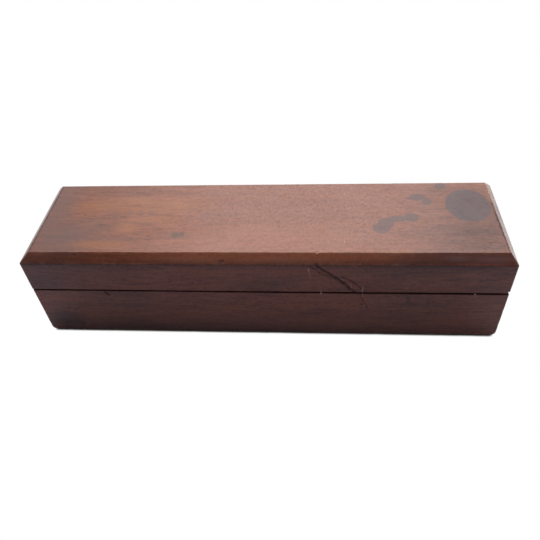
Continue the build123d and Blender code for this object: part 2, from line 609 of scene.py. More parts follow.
agedMahogany = {
    "lightWood": rgb(0.365, 0.117, 0.055),
    "darkWood": rgb(0.150, 0.045, 0.027),
    "poreColor": rgb(0.040, 0.017, 0.014),
    "bands": (0.55, 0.165),  # in lively wood and in calm wood
    "streaks": (0.7, 0.245),
    "flecks": 0.75,
    "ripple": (0.28, 0.7),
    "pores": 0.5,
    "calmWood": [],
    "raggedScale": 0.55,
    "raggedness": 1.7,
    "endGrainTint": rgb(0.62, 0.56, 0.55),
    "wornColor": rgb(0.36, 0.17, 0.10),
    "wear": (0.45, 7.0),  # how much, in patches of what size
    "soaking": 0.55,
    "oiledRaw": rgb(0.15, 0.085, 0.05),
    "dryRaw": rgb(0.46, 0.26, 0.16),
    "rawGrain": (0.6, 3.2),  # how strongly the grain shows in raw wood, and how much brighter
    "dirtColor": rgb(0.026, 0.012, 0.010),
    "jointDirt": (0.75, 0.5, 3.0),  # how dark, how far up and down, how far in from the outside
    "grimeStrength": 0.8,
    "lightMarkColor": rgb(0.66, 0.37, 0.29),
    "rough": (0.38, 0.48),  # between the shiniest and the dullest smears of old oil
    "extraRough": {"pores": 0.18, "hairs": 0.10, "worn": 0.15, "raw": 0.22, "broken": 0.45},
    "coat": 0.2,
    "coatRough": 0.42,
    "thinFinish": [],  # where the varnish has worn away
    "bump": 0.5,
    "bumpDepth": 0.06,
    "hairHeight": -0.5,
    "planeMarks": 2.0,  # how much the plane's marks show beside the grain
    "waveOctaves": 1,
    "rubPatch": 7,
}


def mahoganyMaterial(name, look):
    material, tree, shader, point = startMaterial(name)
    shaken = ragged(tree, point, look["raggedScale"], look["raggedness"])
    calm = spotMask(tree, point, look["calmWood"])
    grain = place(
        tree,
        woodGrain,
        {
            "Vector": point,
            "Seed": look["seed"],
            "Light Wood": look["lightWood"],
            "Dark Wood": look["darkWood"],
            "Pore Color": look["poreColor"],
            "Bands": remap(tree, calm, 0, 1, *look["bands"]),
            "Streaks": remap(tree, calm, 0, 1, *look["streaks"]),
            "Flecks": look["flecks"],
            "Ripple": remap(tree, calm, 0, 1, *look["ripple"]),
            "Pores": look["pores"],
        },
    )
    color = addPatches(tree, grain["Color"], shaken, look["tints"])

    # end grain drinks more oil and goes darker
    color = mixColor(tree, attribute(tree, "endGrain"), color, look["endGrainTint"], "MULTIPLY")

    # rubbed arrises show paler, drier wood
    worn = wearMask(tree, point, look)
    color = mixColor(tree, worn, color, look["wornColor"])

    # the pockets and rims never had a finish, and have drunk oil
    inner = attribute(tree, "inner")
    soaked = place(tree, oilSoak, {"Vector": point, "Seed": look["seed"], "Cover": look["soaking"]})["Mask"]
    raw = mixColor(tree, soaked, look["dryRaw"], look["oiledRaw"])
    rawGrain, brighter = look["rawGrain"]
    raw = mixColor(tree, rawGrain, raw, scaled(tree, grain["Color"], brighter), "MULTIPLY")
    color = mixColor(tree, inner, color, raw)

    # stains, cuts, scratches and packed dirt
    color = addPatches(tree, color, shaken, look["stains"])
    cut = markMask(tree, shaken, look["darkMarks"])
    torn = markMask(tree, point, look["lightMarks"])
    grime = calc(tree, "MULTIPLY", attribute(tree, "grime"), look["grimeStrength"])
    color = mixColor(tree, cut, color, look["dirtColor"])
    color = mixColor(tree, torn, color, look["lightMarkColor"])
    color = mixColor(tree, grime, color, look["dirtColor"])
    join(tree, color, shader["Base Color"])

    # a sheen of old oil, duller where the wood is worn, cut, dirty, soaked or was never finished
    broken = calc(tree, "MAXIMUM", grime, calc(tree, "MAXIMUM", cut, torn))
    bare = calc(tree, "MAXIMUM", inner, broken)
    hairs = place(tree, fineScratches, {"Vector": point, "Amount": 1.0})["Mask"]
    smears = noiseOf(tree, stretched(tree, point, (0.035, 0.05, 0.05)), 4.0, 0.6)
    rough = remap(tree, smears, 0.3, 0.7, *look["rough"])
    masks = {"pores": grain["Pore Mask"], "hairs": hairs, "worn": worn, "raw": inner, "broken": broken}
    for kind, mask in masks.items():
        rough = calc(tree, "MULTIPLY_ADD", mask, look["extraRough"][kind], rough, clamp=True)
    join(tree, rough, shader["Roughness"])
    thin = spotMask(tree, point, look["thinFinish"])
    coat = calc(tree, "MULTIPLY", calc(tree, "SUBTRACT", 1.0, thin), look["coat"])
    join(tree, calc(tree, "MULTIPLY", coat, calc(tree, "SUBTRACT", 1.0, bare)), shader["Coat Weight"])
    shader["Coat Roughness"].default_value = look["coatRough"]

    height = calc(tree, "MULTIPLY_ADD", hairs, look["hairHeight"], grain["Height"])
    planed = noiseOf(tree, stretched(tree, point, (0.05, 0.2, 0.2)))
    height = calc(tree, "MULTIPLY_ADD", planed, look["planeMarks"], height)
    join(tree, bump(tree, height, look["bump"], look["bumpDepth"]), shader["Normal"])
    return material


def depthInside(points):
    return np.minimum(caseX - np.abs(points[:, 0]), caseY - np.abs(points[:, 1]))


def jointDirt(points, deep, look):
    # dirt has packed into the joint between lid and base, from the outside
    strength, height, depth = look["jointDirt"]
    return strength * np.exp(-(((points[:, 2] - rimZ) / height) ** 2)) * np.clip(1 - deep / depth, 0, 1)


def jointGap(points, deep, wall, look, side):
    # how far the worn rim stands off: side is 1 for the lid and -1 for the base
    places, gaps, fade = look["rimWear"]
    near = np.clip(1 - side * (points[:, 2] - rimZ) / fade, 0, 1) * np.clip(1 - deep / wall, 0, 1)
    return np.interp(points[:, 0], places, gaps) * near


def blockMasks(points, normals, deep, inPocket):
    # where the wood was never finished, from 0.7 to 1.5 in from the outside, and where it shows its end grain
    inner = np.clip((deep - 0.7) / 0.8, 0, 1) * inPocket
    endGrain = np.clip((np.abs(normals[:, 0]) - 0.6) / 0.3, 0, 1)
    return inner, endGrain * (1 - inner)


# the lid

# two runs of a slipped chisel down the lid's front, and the marks beside them
firstGouge = through(
    onFront, (28.4, 55.8), (31.0, 52.6), (34.4, 50.0), (37.2, 47.4), (40.6, 44.4), (43.6, 41.0), (47.0, 36.8),
    (48.4, 35.5),
)
secondGouge = through(onFront, (41.0, 46.9), (44.4, 45.6), (47.2, 43.3), (50.0, 40.0), (52.0, 37.8))
sideGouge = through(onFront, (25.2, 54.6), (27.4, 53.0), (30.0, 50.2), (33.4, 47.8), (36.2, 46.4))

lidLook = dict(
    agedMahogany,
    topEasing=0.2,
    bevelEasing=0.35,
    bevelSwell={"long": 0.3, "left": 0.3, "right": 0.05},  # the bevels were planed a little round
    topSpread={  # and not quite evenly: how far the top reaches past a true bevel
        "front": (0.7, 0.4),  # at the left and right ends
        "back": (0.6, 1.0),
        "right": (0.9, 0.2),  # at the front and back
    },
    rimEasing=0.3,
    mouthEasing=0.5,
    ceilingEasing=1.4,
    uprightRadius=0.5,
    topRadius=0.3,
    pocketPlay=(0.8, 0.7),  # how much larger than the base's pocket, along X and Y
    pocketDepth=11.0,
    spacing=(1.3, 0.33),
    closeZones=[(38, 15), (-19.6, 1.6), (-97, 0.8), (109.8, 1.0)],
    waviness=0.11,  # how far the planed faces are from flat
    waveSize=(55, 28, 28),  # along X, Y and Z
    rub=0.05,  # how much the arrises are rubbed down
    # path, half width, depth
    gouges=[(firstGouge, 0.85, 0.42), (secondGouge, 0.65, 0.32), (sideGouge, 0.6, 0.2)],
    # how far the rim stands off at the outside: places along X, gaps, and how high up it fades out
    rimWear=([-127, 0, 127], [0.6, 0.15, 0.3], 2.5),
    chips=[  # place, which way out, radius, depth
        ((-19.6, -caseY, topZ - bevel), (0, -1, 0.4), 1.75, 0.55),
        ((caseX, -caseY, rimZ), (1, -1, -1), 2.2, 1.5),
        ((28.8, -caseY + bevel, topZ), (0, -0.4, 1), 1.6, 0.35),
        ((-97, -caseY + bevel - 1.4, topZ - 1.4), (0, -1, 1), 1.2, 0.3),
        ((28.2, -caseY, topZ - bevel), (0, -1, 0.4), 1.2, 0.35),
    ],
    knocks=60,
    knockRadius=(0.8, 3.0),
    knockDepth=(0.06, 0.26),
    seed=1.0,
    calmWood=[(onTop(18, 0), (58, 50, 12), 0.45)],  # centre, reach, softness
    thinFinish=[(onTop(-92, 0), (54, 44, 8), 0.4), (onTop(128, 0), (26, 44, 8), 0.8)],
    tints=[
        patch(  # grey at the left end of the top and its bevel: a dusty, tired finish and a painted hazy sheen
            rgb(0.150, 0.088, 0.084), 0.62,
            [(onTop(-125, 4), (16, 36, 40), 0.6), (onTop(-109, -17), (17, 13, 12), 0.8)],
        ),
        patch(  # wood dulled by handling next to it
            rgb(0.72, 0.72, 0.68), 0.75, [(onTop(-92, -2), (30, 40, 20), 0.8)], "MULTIPLY",
        ),
        patch(  # orange wood shows where the finish is thin
            rgb(0.37, 0.122, 0.030), 0.4,
            [
                (onTop(-92, 9), (15, 4, 8), 0.7),
                (onTop(-74, 13), (16, 3.5, 8), 0.7),
                (onTop(-76, 6), (16, 3, 8), 0.7),
                (onTop(-54, 8), (20, 5, 8), 0.8),
                (onTop(-74, -9), (6, 4, 8), 0.7),
                (onTop(-60, -2), (12, 3, 8), 0.8),
                (onTop(-84, -22), (16, 3, 8), 0.7),
                (onTop(122.6, 16), (2.4, 10, 8), 0.7),
            ],
        ),
        patch(  # paler wood in the middle, on top and along the bevel
            rgb(0.42, 0.145, 0.075), 0.35,
            [(onTop(0, -18), (48, 9, 8), 0.8), (onBevel(5, 1.6), (60, 3.4, 2.4), 0.8)],
        ),
        patch(  # the front bevel is redder than the rest
            rgb(0.95, 0.84, 0.82), 0.8, [(onBevel(-40, 2.4), (120, 3.6, 2.8), 0.5)], "MULTIPLY",
        ),
        patch(  # darker flecks
            rgb(0.12, 0.064, 0.055), 0.3,
            [
                (onTop(-75, 3.7), (2.0, 2.2, 3), 0.5),
                (onTop(-69, 3.2), (1.6, 1.6, 3), 0.5),
                (onTop(-62.5, 3), (2.2, 1.6, 3), 0.5),
                (onTop(-31, 1.4), (2.0, 1.6, 3), 0.6),
                (onTop(-18, 0), (1.6, 1.2, 3), 0.6),
                (onTop(-90, -6.5), (3.5, 2.0, 3), 0.6),
                (onTop(-56, -13.6), (2.2, 1.1, 3), 0.6),
                (onTop(-104, -10.8), (7.0, 0.8, 3), 0.8),
                (onTop(-99, -2), (5.0, 0.8, 3), 0.8),
                (onTop(-86, -9.5), (5.0, 1.2, 3), 0.8),
                (onTop(-80, -18), (9.0, 1.0, 3), 0.8),
                (onTop(-66, -5.5), (6.0, 0.8, 3), 0.8),
            ],
        ),
        patch(  # the shaded right-hand corner
            rgb(0.55, 0.56, 0.62), 0.8,
            [(onTop(119, -15), (30, 15, 14), 0.8), (onTop(124, 0), (5, 16, 10), 0.6)], "MULTIPLY",
        ),
        patch(
            rgb(0.62, 0.60, 0.58), 0.55, [(onTop(106, 4), (26, 30, 10), 0.8)], "MULTIPLY",
        ),
        patch(  # scuffed grey towards the right end of the bevel
            rgb(0.12, 0.044, 0.036), 0.6, [(onBevel(104, 2.4), (32, 4.4, 3.6), 0.5)],
        ),
        patch(  # paler along the middle of the bevel
            rgb(0.38, 0.155, 0.095), 0.4,
            [(onBevel(-34, 3.2), (18, 2.4, 1.2), 0.8), (onBevel(8, 3.2), (22, 2.4, 1.2), 0.8)],
        ),
        patch(
            rgb(0.22, 0.125, 0.125), 0.4,
            [(onBevel(115, 2.7), (9, 2.4, 1.5), 0.8), (onBevel(98, 2.2), (6, 2.0, 1.2), 0.8)],
        ),
        patch(  # rubbed red along the shoulder
            rgb(0.32, 0.070, 0.040), 0.5, [(onBevel(104, 4.5), (24, 1.2, 0.6), 0.6)],
        ),
        patch(  # smears at the right of the lid's front
            rgb(0.50, 0.50, 0.55), 0.45,
            [
                (onFront(104, 45), (8, 6, 2.2), 0.8),
                (onFront(118, 48), (7, 6, 3.0), 0.8),
                (onFront(112, 40), (10, 6, 1.6), 0.8),
            ],
            "MULTIPLY",
        ),
        patch(  # less red where the front has been handled
            rgb(0.70, 0.82, 0.92), 0.9,
            [
                (onFront(78, 51), (24, 6, 7), 0.8),
                (onFront(1, 40), (15, 6, 5), 0.8),
                (onFront(-118, 40), (12, 6, 6), 0.8),
            ],
            "MULTIPLY",
        ),
        patch(  # dark ends of the front bevel and the shoulder under it
            rgb(0.46, 0.45, 0.51), 0.55,
            [
                (onBevel(-112, 4.6), (40, 3.6, 3.2), 0.8),
                (onBevel(0, 4.8), (150, 2.6, 2.6), 0.6),
            ],
            "MULTIPLY",
        ),
    ],
    stains=[
        patch(  # rings and drips of oil
            rgb(0.062, 0.040, 0.050), 0.76, [(onTop(109.4, 8.6), (11.6, 13.3, 6), 0.035)],
        ),
        patch(
            rgb(0.070, 0.043, 0.050), 0.64,
            [
                (onTop(62.3, -9.3), (4.7, 4.2, 5), 0.06),
                (onTop(65.2, -5.3), (4.3, 3.8, 5), 0.07),
                (onTop(71.5, -2.2), (4.6, 2.5, 5), 0.08),
                (onTop(78.2, -1.3), (3.6, 3.3, 5), 0.08),
                (onTop(81.0, -0.3), (2.2, 0.9, 5), 0.15),
                (onTop(83.8, 15.3), (4.4, 2.9, 5), 0.07),
                (onTop(79.4, 14.2), (2.3, 0.9, 5), 0.15),
                (onTop(88.2, 11.8), (2.6, 3.2, 5), 0.08),
                (onTop(97.3, 25.4), (3.0, 2.8, 5), 0.10),
            ],
        ),
        patch(  # a small knot and the darker wood round it
            rgb(0.12, 0.060, 0.035), 0.3, [(onTop(-44.0, -14.6), (6.0, 3.0, 3), 0.8)],
        ),
        patch(
            rgb(0.085, 0.045, 0.022), 0.62, [(onTop(-45.8, -14.9), (2.1, 2.1, 3), 0.4)],
        ),
        patch(
            rgb(0.07, 0.04, 0.04), 0.75, [(onTop(-42.4, -14.2), (1.3, 1.5, 3), 0.5)],
        ),
        patch(  # smears and spots on the front
            rgb(0.05, 0.025, 0.022), 0.6,
            [
                (onFront(111, 44.6), (1.2, 4, 1.0), 0.5),
                (onFront(115.5, 45.2), (3.4, 4, 0.5), 0.6),
                (onFront(121.8, 50.3), (1.7, 4, 0.8), 0.5),
                (onFront(-73.3, 44.5), (1.1, 4, 0.8), 0.4),
                (onFront(-48.7, 42.4), (0.9, 4, 0.5), 0.4),
                (onFront(-36.2, 42.0), (0.9, 4, 0.5), 0.4),
                (onFront(-30.8, 37.4), (0.8, 4, 0.5), 0.4),
                (onFront(40, 46.6), (3.4, 4, 0.8), 0.6),
            ],
        ),
    ],
    darkMarks=[  # path, half width, taper, strength
        (through(onFront, (-126, 55.2), (126, 55.2)), 0.5, 0.0, 0.4),
        (through(onTop, (-121.8, -26), (-121.8, 27)), 0.6, 0.0, 0.6),
        (through(onTop, (122.6, -26), (122.2, 10)), 0.55, 0.3, 0.5),
        (through(onTop, (122.0, -4.5), (123.2, -6.5)), 0.8, 0.3, 0.5),
        (firstGouge, 1.7, 0.3, 0.25),
        (firstGouge, 0.80, 0.1, 0.62),
        (firstGouge[1:4], 0.95, 0.3, 0.5),
        (secondGouge, 0.60, 0.2, 0.5),
        (sideGouge, 0.5, 0.2, 0.42),
        (through(onTop, (67, -12.0), (84, -12.2)), 0.22, 0.8, 0.4),
        (through(onBevel, (-97.4, 1.2), (-96.6, 1.4)), 0.6, 0.3, 0.6),
        (through(onBevel, (-20.4, 3.6), (-18.6, 3.2)), 0.7, 0.3, 0.7),
    ],
    lightMarks=[
        (through(onFront, (31.0, 36.0), (31.0, 35.2)), 0.6, 0.2, 0.45),
        (through(onFront, (24.3, 53.2), (25.0, 50.2)), 0.45, 0.4, 0.75),
        (through(onFront, (25.0, 50.2), (25.7, 46.2)), 0.35, 0.4, 0.3),
        (through(onFront, (52.4, 39.4), (52.5, 35.0)), 0.45, 0.2, 0.6),
        (through(onFront, (46.0, 41.6), (47.0, 38.0)), 0.5, 0.5, 0.3),
        (through(onFront, (39.6, 48.6), (42.6, 43.6)), 0.6, 0.5, 0.18),
        (through(onTop, (44.2, 19.6), (44.2, 17.6)), 0.28, 0.4, 0.25),
        (through(onTop, (42.8, -18.9), (42.9, -20.8)), 0.34, 0.4, 0.5),
        (through(onBevel, (-20.2, 4.6), (-18.8, 4.5)), 0.4, 0.3, 0.7),
        (through(onBevel, (66, 0.3), (71, 0.4)), 0.5, 0.5, 0.25),
    ],
)


def makeLid(look):
    playX, playY = look["pocketPlay"]
    insetX, insetY = caseX - pocketX - playX, caseY - pocketY - playY
    ceiling = rimZ + look["pocketDepth"]
    radius, topRadius = look["uprightRadius"], look["topRadius"]
    start = bevel + look["topEasing"] + 0.25
    end = look["ceilingEasing"] + 0.3
    rows = [[start, start, topZ, topRadius]]
    rows += profileRows(
        [
            (bevel + 2, bevel + 2, topZ, 0, topRadius),
            (bevel, bevel, topZ, look["topEasing"], topRadius),
            (0, 0, topZ - bevel, look["bevelEasing"], radius),
            (0, 0, rimZ, look["rimEasing"], radius),
            (insetX, insetY, rimZ, look["mouthEasing"], 1.0),
            (insetX, insetY, ceiling, look["ceilingEasing"], 1.4),
            (insetX + 3, insetY + 3, ceiling, 0, 1.4),
        ],
        (1, 0.7, 0.46, 1.3, 1.6, 1),
    )
    rows.append([insetX + end, insetY + end, ceiling, 1.2])
    piece, points, normals = startPiece("lid", look, rows, caseX, caseY)

    shoulder = topZ - bevel
    edges = levelEdges(caseX - bevel, caseY - bevel, topZ)
    edges += levelEdges(caseX, caseY, shoulder) + levelEdges(caseX, caseY, rimZ)
    edges += uprightEdges(caseX, caseY, rimZ, shoulder) + uprightEdges(caseX, caseY, shoulder, topZ, bevel)
    arris = nearEdges(points, edges, 0.9)
    deep = depthInside(points)
    inner, endGrain = blockMasks(points, normals, deep, points[:, 2] < ceiling + 1)

    # the bevels were planed a little round
    sag = wornSag(points, arris, look, 1)
    down = np.clip((topZ - points[:, 2]) / bevel, 0, 1)
    fromEnd = caseX - np.abs(points[:, 0]) - caseY + np.abs(points[:, 1])
    swell = look["bevelSwell"]
    endSwell = np.where(points[:, 0] < 0, swell["left"], swell["right"])
    swell = endSwell + (swell["long"] - endSwell) * np.clip(0.3 + fromEnd / 2, 0, 1)
    sag -= swell * 4 * down * (1 - down)
    grime = jointDirt(points, deep, look)
    for path, width, depth in look["gouges"]:
        distance, along = distanceTo(points, path)
        shaky = 1 + 0.25 * unevenness(points, (1.5, 1.5, 1.5), 3, 1)
        width = width * (0.7 + 0.4 * np.sin(math.pi * along)) * shaky
        inside = np.clip(1 - (distance / width) ** 2, 0, 1)
        sag = np.maximum(sag, 0.3 * look["waviness"] + depth * inside)
        grime = np.maximum(grime, 0.5 * inside)
    points = points - normals * sag[:, None]

    spread = look["topSpread"]
    acrossX, acrossY = points[:, 0] / (caseX - bevel), points[:, 1] / (caseY - bevel)
    front = np.interp(acrossX, (-1, 1), spread["front"]) * np.clip(-acrossY, 0, 1) ** 4
    back = np.interp(acrossX, (-1, 1), spread["back"]) * np.clip(acrossY, 0, 1) ** 4
    right = np.interp(acrossY, (-1, 1), spread["right"]) * np.clip(acrossX, 0, 1) ** 16
    points[:, 1] += (back - front) * (1 - down)
    points[:, 0] += right * (1 - down)

    # the rim has worn and moved, and stands off the base at the outside
    points[:, 2] += jointGap(points, deep, insetY, look, 1)

    for knock in look["chips"]:
        points = chip(points, *knock)
    points = edgeKnocks(points, edges, lidLow, lidHigh, look, 12)
    finishPiece(piece, points, lidLow, lidHigh, arris=arris, inner=inner, grime=grime, endGrain=endGrain)
    return piece


lid = makeLid(lidLook)
lid.data.materials.append(mahoganyMaterial("lidMahogany", lidLook))
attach(lid, "lid")
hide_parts("lid_block")
print("lid made:", len(lid.data.polygons), "faces")


# the base

longCut = through(onFront, (51.8, 33.6), (52.4, 29.8), (54.3, 26.0), (56.3, 21.2))

baseLook = dict(
    agedMahogany,
    endRadius=3.0,
    sideRadius=0.7,
    rimEasing=0.35,
    mouthEasing=0.5,
    floorEasing=0.6,
    uprightRadius=0.8,
    spacing=(1.5, 0.36),
    closeZones=[(-85.5, 1.2), (53.4, 2.6), (31.0, 0.8), (109.8, 0.8)],
    waviness=0.1,
    waveSize=(60, 30, 30),
    rub=0.14,
    cuts=[  # path, half width, depth, how dirty
        (through(onFront, (-86.3, 34.0), (-84.8, 31.2)), 0.8, 0.35, 0.9),
        (longCut, 0.55, 0.22, 0.45),
        (through(onFront, (52.5, 25.8), (52.8, 25.2)), 0.8, 0.35, 0.9),
        (through(onFront, (52.6, 29.4), (54.8, 22.8)), 0.45, 0.15, 0.1),
    ],
    rimWear=([-127, -40, 0, 127], [0.15, 0.5, 0.75, 0.9], 2.0),
    splinters=[31.0, 109.8],  # places along the front where a splinter still bridges the gap
    chips=[
        ((-caseX, -caseY, woodZ), (-1, -1, -1), 2.8, 1.4),
        ((caseX, -caseY, woodZ), (1, 0, -1), 3.0, 1.0),
        ((caseX, -caseY, rimZ), (1, -1, 1), 2.0, 0.9),
        ((-caseX, -caseY, rimZ), (-1, -1, 1), 2.0, 0.6),
    ],
    knocks=56,
    knockRadius=(0.8, 3.0),
    knockDepth=(0.06, 0.3),
    seed=5.0,
    lightWood=rgb(0.362, 0.121, 0.060),
    darkWood=rgb(0.150, 0.048, 0.032),
    tints=[
        patch(  # less red where the front has been handled
            rgb(0.72, 0.84, 0.94), 0.9,
            [
                (onFront(-80, 26), (24, 6, 13), 0.8),
                (onFront(81, 26), (20, 6, 12), 0.8),
                (onFront(-116, 11), (10, 6, 6), 0.8),
            ],
            "MULTIPLY",
        ),
        patch(  # painted light: a greyer, bluer tint low down, standing in for the pale floor's light thrown on the front
            rgb(0.18, 0.105, 0.095), 0.3, [(onFront(36, 2), (96, 20, 14), 0.6)],
        ),
        patch(  # painted shade: darker along the bottom, most of it at the left, where the floor's shadow falls
            rgb(0.42, 0.52, 0.64), 0.75,
            [
                (onFront(-84, 2), (46, 20, 9), 0.8),
                (onFront(-113, 6), (12, 20, 11), 0.7),
                (onFront(-20, -2), (70, 20, 5), 0.8),
            ],
            "MULTIPLY",
        ),
    ],
    stains=[
        patch(
            rgb(0.05, 0.022, 0.020), 0.45,
            [
                (onFront(-53.2, 27.4), (1.0, 4, 0.6), 0.4),
                (onFront(-2.4, 26.2), (1.4, 4, 0.5), 0.4),
                (onFront(-76.6, 26.2), (1.0, 4, 0.6), 0.4),
                (onFront(42, 26.3), (1.6, 4, 0.5), 0.5),
                (onFront(76.5, 29), (0.8, 4, 2.6), 0.6),
                (onFront(87.0, 28.5), (0.7, 4, 2.2), 0.6),
            ],
        ),
    ],
    darkMarks=[
        (through(onFront, (-86.3, 34.0), (-84.8, 31.2)), 0.75, 0.2, 0.7),
        (longCut, 0.42, 0.1, 0.32),
        (through(onFront, (52.6, 25.8), (52.8, 25.2)), 0.6, 0.1, 0.7),
    ],
    lightMarks=[
        (through(onFront, (52.4, 35.2), (52.6, 31.6)), 0.42, 0.2, 0.5),
        (through(onFront, (53.0, 28.4), (54.9, 22.4)), 0.35, 0.5, 0.3),
        (through(onFront, (31.0, 35.4), (31.0, 34.2)), 0.8, 0.1, 1.0),
        (through(onFront, (109.5, 35.2), (110.1, 33.9)), 0.6, 0.1, 0.6),
    ],
)


def makeBase(look):
    insetX, insetY = caseX - pocketX, caseY - pocketY
    radius = look["uprightRadius"]
    endRadius, sideRadius = look["endRadius"], look["sideRadius"]
    rows = [[endRadius + 0.3, sideRadius + 0.3, woodZ, radius]]
    for up in (0, 0.1, 0.25, 0.45, 0.7, 1.1, 1.6, 2.2):
        underX = endRadius - math.sqrt(endRadius**2 - (endRadius - up) ** 2)
        left = max(0.0, sideRadius - up)
        underY = sideRadius - math.sqrt(sideRadius**2 - left**2)
        rows.append([underX, underY, woodZ + up, radius])
    rows += profileRows(
        [
            (0, 0, woodZ, 0, radius),
            (0, 0, woodZ + endRadius, 0.3, radius),
            (0, 0, rimZ, look["rimEasing"], radius),
            (insetX, insetY, rimZ, look["mouthEasing"], 0.6),
            (insetX, insetY, floorZ, look["floorEasing"], 0.6),
            (insetX + 3, insetY + 3, floorZ, 0, 0.6),
        ],
        (1, 0.75, 1.3, 1.6, 1),
    )
    end = look["floorEasing"] + 0.3
    rows.append([insetX + end, insetY + end, floorZ, 0.5])
    piece, points, normals = startPiece("base", look, rows, caseX, caseY, faceUp=False)

    edges = levelEdges(caseX, caseY, rimZ) + levelEdges(caseX - 0.6, caseY, woodZ)
    edges += uprightEdges(caseX, caseY, woodZ, rimZ)
    arris = nearEdges(points, edges, 0.9)
    deep = depthInside(points)
    inner, endGrain = blockMasks(points, normals, deep, points[:, 2] > floorZ - 1)

    sag = wornSag(points, arris, look, 4)
    splinter = np.zeros(len(points))
    for x in look["splinters"]:
        splinter = np.maximum(splinter, np.exp(-(((points[:, 0] - x) / 0.5) ** 4)) * (points[:, 1] < 0))
    grime = jointDirt(points, deep, look) * (1 - splinter)
    for path, width, depth, dirt in look["cuts"]:
        inside = np.clip(1 - (distanceTo(points, path)[0] / width) ** 2, 0, 1)
        sag += depth * inside
        grime = np.maximum(grime, inside * dirt)
    # the pocket's corners hold old oil and swarf
    inPocket = (deep > insetY - 0.1) & (points[:, 2] > floorZ - 0.5)
    corner = inPocket * np.exp(-(((points[:, 2] - floorZ) / 3) ** 2)) * np.exp(-(((deep - insetY) / 4) ** 2))
    grime = np.maximum(grime, 0.6 * corner)
    points = points - normals * sag[:, None]

    points[:, 2] -= jointGap(points, deep, insetY, look, -1) * (1 - splinter)

    for knock in look["chips"]:
        points = chip(points, *knock)
    points = edgeKnocks(points, edges, baseLow, baseHigh, look, 23)
    finishPiece(piece, points, baseLow, baseHigh, arris=arris, inner=inner, grime=grime, endGrain=endGrain)
    return piece


base = makeBase(baseLook)
base.data.materials.append(mahoganyMaterial("baseMahogany", baseLook))
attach(base, "base")
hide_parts("base_block")
print("base made:", len(base.data.polygons), "faces")


# the stone

bondedStone = {
    "arris": 0.5,
    "uprightRadius": 0.9,
    "spacing": (1.6, 0.4),
    "waviness": 0.1,
    "waveSize": (20, 20, 12),
    "waveOctaves": 2,
    "rub": 0.12,
    "rubPatch": 3,
    "dish": 0.65,  # how deep the fine face is worn hollow
    "knocks": 70,
    "knockRadius": (0.5, 2.2),
    "knockDepth": (0.08, 0.34),
    "wear": (0.8, 3.0),  # how much is chipped, in patches of what size
}
fineLook = dict(
    bondedStone,
    seed=2.0,
    bright=rgb(0.56, 0.32, 0.175),
    dull=rgb(0.36, 0.205, 0.120),
    oiled=rgb(0.17, 0.110, 0.078),
    swarf=rgb(0.115, 0.104, 0.098),
    chipped=rgb(0.66, 0.45, 0.30),
    gritSize=0.22,
    gritContrast=0.55,
    cover=0.45,
    soaked=0.5,
    swarfStrength=0.8,
    hairs=0.15,
    rough=(0.62, 0.45),  # dry and oiled
    bump=0.35,
    bumpDepth=0.05,
)
coarseLook = dict(
    bondedStone,
    seed=6.0,
    bright=rgb(0.24, 0.225, 0.21),
    dull=rgb(0.10, 0.098, 0.10),
    oiled=rgb(0.055, 0.050, 0.046),
    swarf=rgb(0.05, 0.046, 0.044),
    chipped=rgb(0.30, 0.29, 0.28),
    gritSize=0.45,
    gritContrast=0.9,
    cover=0.35,
    soaked=0.7,
    swarfStrength=0.3,
    hairs=0.3,
    rough=(0.75, 0.5),
    bump=0.6,
    bumpDepth=0.12,
)


def makeLayer(name, low, high, look, wornTop, seed):
    halfX, halfY = high[0], high[1]
    easing, radius = look["arris"], look["uprightRadius"]
    # the glued face keeps a sharp edge, the outer face an eased one
    easeTop, easeBottom = (easing, 0.15) if wornTop else (0.15, easing)
    start, end = easeTop + 0.3, easeBottom + 0.3
    rows = [[start, start, high[2], radius]]
    rows += profileRows(
        [
            (2, 2, high[2], 0, radius),
            (0, 0, high[2], easeTop, radius),
            (0, 0, low[2], easeBottom, radius),
            (2, 2, low[2], 0, radius),
        ],
        (1, 0.8, 1),
    )
    rows.append([end, end, low[2], radius])
    piece, points, normals = startPiece(name, look, rows, halfX, halfY)
    outer = high[2] if wornTop else low[2]
    edges = levelEdges(halfX, halfY, outer) + uprightEdges(halfX, halfY, low[2], high[2])
    arris = nearEdges(points, edges, 0.8)
    acrossX, acrossY = points[:, 0] / halfX, points[:, 1] / halfY
    hollow = np.clip(1 - acrossX**4, 0, 1) * np.clip(1 - 0.75 * acrossY**2, 0, 1)
    hollow *= 0.85 + 0.15 * np.sin(2.3 * acrossX + 0.6)
    points = points - normals * wornSag(points, arris, look, seed)[:, None]
    onFace = np.clip(1 - np.abs(points[:, 2] - outer) / 1.0, 0, 1)
    if wornTop:
        points[:, 2] -= look["dish"] * hollow * np.clip((points[:, 2] - low[2]) / 6 - 1, 0, 1)
    points = edgeKnocks(points, edges, low, high, look, seed)
    finishPiece(piece, points, low, high, arris=arris, worn=hollow * onFace)
    return piece


